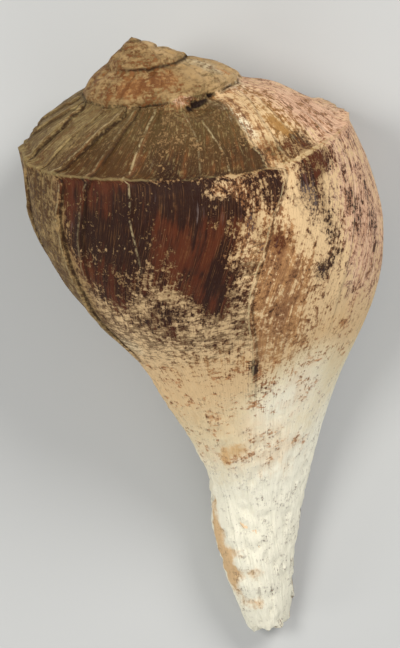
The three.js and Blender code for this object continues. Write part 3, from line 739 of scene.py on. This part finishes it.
def shellMaterial():
    material = bpy.data.materials.new("shell")
    material.use_nodes = True
    tree = material.node_tree
    tones = shellTones

    def field(name):
        return make(tree, "ShaderNodeAttribute", {"attribute_name": name}, output="Fac")

    def stretched(vector, x, y, z=1, turn=0):
        return make(tree, "ShaderNodeMapping", {}, {"Vector": vector, "Scale": (x, y, z),
                                                    "Rotation": (0, 0, turn)})

    def grain(vector, octaves, rough, distortion=0):
        # noise from about -1 to 1
        cloud = make(tree, "ShaderNodeTexNoise", {"noise_dimensions": "3D"},
                     {"Vector": vector, "Scale": 1, "Detail": octaves, "Roughness": rough,
                      "Distortion": distortion})
        return (cloud - 0.5) * 4

    def mixed(factor, below, above):
        # a colour mix has its factor and its two colours on sockets 0, 6 and 7
        return make(tree, "ShaderNodeMix", {"data_type": "RGBA"}, {0: factor, 6: below, 7: above}, output=2)

    grow = make(tree, "ShaderNodeUVMap", {"uv_map": "grow"})
    around = make(tree, "ShaderNodeUVMap", {"uv_map": "around"})
    place = make(tree, "ShaderNodeTexCoord", output="Object")
    fields = {name: field(name) for name in ("skin", "film", "pale", "rose", "olive", "tan", "lilac", "holeShade",
                                             "fleck", "spots", "ochre", "spire", "glaze", "suture", "arc")}

    fine, specks, blots, broad = [grain(stretched(place, scale, scale, scale), octaves, rough)
                                  for scale, octaves, rough in shellGrains.values()]
    striae, fineStriae, streaks = [grain(stretched(grow, across, along), octaves, rough)
                                   for across, along, octaves, rough in shellLines.values()]
    scratches = grain(stretched(grow, 1.1, 0.2), 5, 0.72, 0.5)
    dashes = grain(stretched(around, 0.26, 0.95, turn=-0.2), 4, 0.7, 0.5)
    spiral = grain(stretched(around, 0.05, 1.4), 3, 0.6)
    scratches = scratches * (1 - fields["spire"] * 0.8) + spiral * fields["spire"] * 0.5
    striae = striae * (1 - fields["spire"] * 0.8)
    fineStriae = fineStriae * (1 - fields["spire"] * 0.7)

    # the bare shell
    paleness = fields["pale"] + blots * 0.14 + broad * 0.12 + specks * 0.06 + striae * 0.08
    dull = (fields["olive"] * 0.8 + fields["skin"] * 0.7 + broad * 0.2).rise(0.1, 0.7)
    color = mixed(paleness.rise(0.25, 0.6), mixed(dull, tones["buff"], tones["dullBuff"]), tones["cream"])
    color = mixed(paleness.rise(0.5, 0.95), color, tones["ivory"])

    # stains in it: olive and rose, then the orange-brown film in streaks
    oliveTone = mixed(striae.rise(-0.3, 0.4), tones["olive"], tones["paleOlive"])
    stain = fields["olive"] + blots * 0.3 + scratches * 0.3 + spiral * 0.15 + specks * 0.3 - 0.5
    color = mixed(stain.rise(-0.15, 0.25) * 0.8, color, oliveTone)
    roseTone = mixed(fineStriae.rise(-0.4, 0.4), tones["darkRose"], tones["rose"])
    stain = fields["rose"] + striae * 0.3 + fineStriae * 0.22 + blots * 0.26 + specks * 0.3 - 0.5
    color = mixed(stain.rise(-0.12, 0.16) * 0.85, color, roseTone)
    filmTone = mixed((streaks + scratches * 0.6).rise(-0.4, 0.4), tones["darkFilm"], tones["film"])
    filmTone = mixed(fields["ochre"], filmTone, tones["ochre"])
    stain = (fields["film"] * 0.85 + striae * 0.32 + scratches * 0.24 + blots * 0.3 + specks * 0.45
             + fine * 0.15 - 0.5)
    color = mixed(stain.rise(-0.14, 0.2) * 0.85, color, filmTone)
    stain = fields["tan"] + blots * 0.35 + specks * 0.15 - 0.5
    color = mixed(stain.rise(-0.25, 0.3) * 0.8, color, tones["tan"])

    # slanting flecks on the lower body and sparse spots below them
    dashed = fields["fleck"] + dashes * 0.5 + specks * 0.12 + blots * 0.26 - 0.5
    color = mixed(dashed.rise(-0.14, 0.2) * 0.75, color, tones["fleck"])
    spotted = fields["spots"] + dashes * 0.34 + blots * 0.42 + specks * 0.14 - 0.54
    color = mixed(spotted.rise(-0.06, 0.1) * 0.75, color, tones["spot"])
    washed = fields["spots"] + broad * 0.5 + blots * 0.4 + striae * 0.25 - 0.3
    color = mixed(washed.rise(-0.2, 0.5) * 0.4 * fields["spots"].rise(0, 0.2), color, tones["tan"])

    # the dark skin that flakes off
    skinTone = mixed((broad + streaks * 0.8 + scratches * 0.3).rise(-0.1, 0.7), tones["brown"],
                     tones["chestnut"])
    skinTone = mixed((fields["olive"] + broad * 0.3).rise(0.25, 0.6) * 0.85, skinTone, tones["darkOlive"])
    upRamp = fields["arc"].rise(-7, -21) * (0.75 + blots * 0.3).least(1)
    skinTone = mixed(upRamp * 0.55, skinTone, tones["olive"])
    onRamp = fields["arc"].rise(0, -2)
    skinTone = mixed((streaks + blots * 0.5).rise(0.1, 0.8) * onRamp * 0.6, skinTone, tones["darkFilm"])
    rubbed = (scratches + specks * 0.6 + blots * 0.4).rise(0.1, 0.9) * onRamp
    skinTone = mixed(rubbed * 0.5, skinTone, tones["paleOlive"])
    thin = fineStriae.rise(0, 0.8) * (blots + specks * 0.5).rise(-0.5, 0.6)
    skinTone = mixed(thin * 0.36, skinTone, tones["film"])
    skinTone = mixed(fields["spire"] * 0.7, skinTone, tones["darkFilm"])
    greyed = fields["lilac"] + scratches * 0.4 + striae * 0.3 - 0.35
    skinTone = mixed(greyed.rise(-0.1, 0.3) * 0.7, skinTone, tones["lilac"])
    flaking = (fields["skin"] + striae * 0.14 + scratches * 0.3 + blots * 0.34 + specks * 0.4 + fine * 0.25
               - 0.52)
    color = mixed(flaking.rise(-0.45, 0) * (0.5 - fields["spire"] * 0.2), color, tones["chestnut"])
    cover = flaking.rise(-0.08, 0.12)
    color = mixed(cover * (0.97 - fields["spire"] * 0.35), color, skinTone)

    # growth lines: many faint ones, and the marks where growth paused
    color = mixed(fineStriae.rise(0.35, 0.8) * 0.3 * (1.2 - fields["pale"].least(1)), color, tones["line"])
    color = mixed(fineStriae.rise(-0.4, -0.9) * (0.22 - cover * 0.18), color, tones["paleLine"])
    wiggle = blots * 0.3 + specks * 0.12
    relief = striae * 0.12 + fineStriae * 0.1 + blots * 0.12 + specks * 0.07 + cover * 0.14
    for number, mark in enumerate(marks):
        away = field(f"mark{number}") + wiggle
        start, end = mark["shows"]
        shows = fields["arc"].rise(start - 2, start + 2) * fields["arc"].rise(end + 4, end - 8)
        dark = (away - 1.2).size().rise(0.65, 0.15) * shows * mark["dark"] * specks.rise(-0.9, 0.1)
        pale = (away + 0.1).size().rise(0.5, 0.1) * shows * mark["pale"] * (blots + specks).rise(-0.6, 0.5)
        color = mixed(dark * 0.85, color, tones["line"])
        color = mixed(pale * 0.62, color, tones["paleLine"])
        relief = relief - dark * 0.5 + pale * 0.25

    # the pale keel, painted shade in the crack of the suture and in the holes, and the glaze of the open side
    keelLine = (fields["arc"] + blots * 0.5 + specks * 0.3).size().rise(1.1, 0.3)
    keelLine = keelLine * (broad + blots + specks * 0.6).rise(-0.8, 0.5) * 0.45
    color = mixed(keelLine, color, tones["paleOlive"])
    # painted shade: a near-black line along the sunken suture
    crack = (fields["suture"] + blots * 0.5 + specks * 0.3).rise(0.8 + fields["spire"] * 0.2, 0.15)
    crack = crack * (broad + blots * 0.7 + specks * 0.3).rise(-0.7, 0.5)
    color = mixed(crack * 0.85, color, tones["crack"])
    # painted shade: the pits are painted near-black inside
    holeShadeMask = (fields["holeShade"] + blots * 0.18 + specks * 0.16).rise(0.2, 0.75)
    color = mixed(holeShadeMask * 0.97, color, tones["crack"])
    color = mixed(fields["glaze"], color, tones["glaze"])

    shine = 0.64 - cover * 0.12 - fields["glaze"] * 0.28 + blots * 0.06
    relief = (relief - crack * 0.4 - holeShadeMask * 0.5) * (1 - fields["glaze"] * 0.85)
    bump = make(tree, "ShaderNodeBump", {}, {"Strength": shellFinish["bump"],
                                             "Distance": shellFinish["bumpHeight"], "Height": relief})
    shader = tree.nodes["Principled BSDF"]
    shader.inputs["Specular IOR Level"].default_value = shellFinish["specular"]
    tree.links.new(color.socket, shader.inputs["Base Color"])
    tree.links.new(shine.socket, shader.inputs["Roughness"])
    tree.links.new(bump.socket, shader.inputs["Normal"])
    return material


# millimetres and degrees, on the shell's own axis
camera = {"distance": 1100, "aimDepth": 85, "raised": 17, "tilt": 12.5, "lens": 191, "right": 2.1,
          "down": 10.9}


def addCamera():
    # the photograph's viewing angle, worked out on the shell's own axis and laid down with it
    raised = math.radians(camera["raised"])
    tilt = math.radians(camera["tilt"])
    toCamera = np.array([0, -math.cos(raised), math.sin(raised)])
    up = np.array([0, math.sin(raised), math.cos(raised)])
    side = np.array([1, 0, 0])
    right = side * math.cos(tilt) - up * math.sin(tilt)
    above = side * math.sin(tilt) + up * math.cos(tilt)
    aim = np.array([0, 0, -camera["aimDepth"]]) + right * camera["right"] - above * camera["down"]
    place = aim + toCamera * camera["distance"]
    turn = lyingTurn()
    eye = bpy.data.cameras.new("camera")
    eye.lens = camera["lens"]
    eye.sensor_width = 36
    eye.clip_end = 10
    eyeObject = bpy.data.objects.new("camera", eye)
    axes = Matrix([turn @ Vector(right), turn @ Vector(above), turn @ Vector(toCamera)]).transposed()
    eyeObject.matrix_world = (Matrix.Translation(turn @ Vector(place * mm) + Vector(apexPlace()))
                              @ axes.to_4x4())
    bpy.context.scene.collection.objects.link(eyeObject)
    bpy.context.scene.camera = eyeObject


studio = {"floor": (0.46, 0.465, 0.46, 1), "floorRough": 0.9, "floorSize": 3, "sky": (0.9, 0.92, 0.95, 1),
          "skyStrength": 0.3, "lightsAim": (0, 0, 0.03)}


def addFloor():
    bm = bmesh.new()
    bmesh.ops.create_grid(bm, x_segments=1, y_segments=1, size=studio["floorSize"])
    mesh = bpy.data.meshes.new("floor")
    bm.to_mesh(mesh)
    bm.free()
    floor = bpy.data.objects.new("floor", mesh)
    material = bpy.data.materials.new("floor")
    material.use_nodes = True
    shader = material.node_tree.nodes["Principled BSDF"]
    shader.inputs["Base Color"].default_value = studio["floor"]
    shader.inputs["Roughness"].default_value = studio["floorRough"]
    mesh.materials.append(material)
    bpy.context.scene.collection.objects.link(floor)


lights = [
    {"name": "key", "place": (-0.55, 0.35, 1.0), "size": 0.45, "power": 7.5, "color": (1, 0.98, 0.94)},
    {"name": "fill", "place": (0.6, 0.55, 0.75), "size": 0.5, "power": 9.5, "color": (1, 0.98, 0.95)},
    {"name": "rim", "place": (-0.9, -0.1, 0.35), "size": 0.3, "power": 2, "color": (1, 1, 0.96)},
    {"name": "low", "place": (0.1, -1.0, 0.5), "size": 0.8, "power": 4.5, "color": (1, 1, 0.99)},
]


def addLights():
    for lamp in lights:
        light = bpy.data.lights.new(lamp["name"], "AREA")
        light.shape = "DISK"
        light.size = lamp["size"]
        light.energy = lamp["power"]
        light.color = lamp["color"]
        lampObject = bpy.data.objects.new(lamp["name"], light)
        place = Vector(lamp["place"])
        aim = (Vector(studio["lightsAim"]) - place).to_track_quat("-Z", "Y")
        lampObject.matrix_world = Matrix.Translation(place) @ aim.to_matrix().to_4x4()
        bpy.context.scene.collection.objects.link(lampObject)
    world = bpy.data.worlds.new("studio")
    world.use_nodes = True
    sky = world.node_tree.nodes["Background"]
    sky.inputs["Color"].default_value = studio["sky"]
    sky.inputs["Strength"].default_value = studio["skyStrength"]
    bpy.context.scene.world = world


addCamera()
addFloor()
addLights()
print("stage ready")
shell = buildShell()
shell.data.materials.append(shellMaterial())
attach(shell, "root")
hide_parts("whelk_shell")
print("shell ready:", sum(len(p.vertices) - 2 for p in shell.data.polygons), "triangles")
bpy.context.scene.view_settings.view_transform = "Standard"
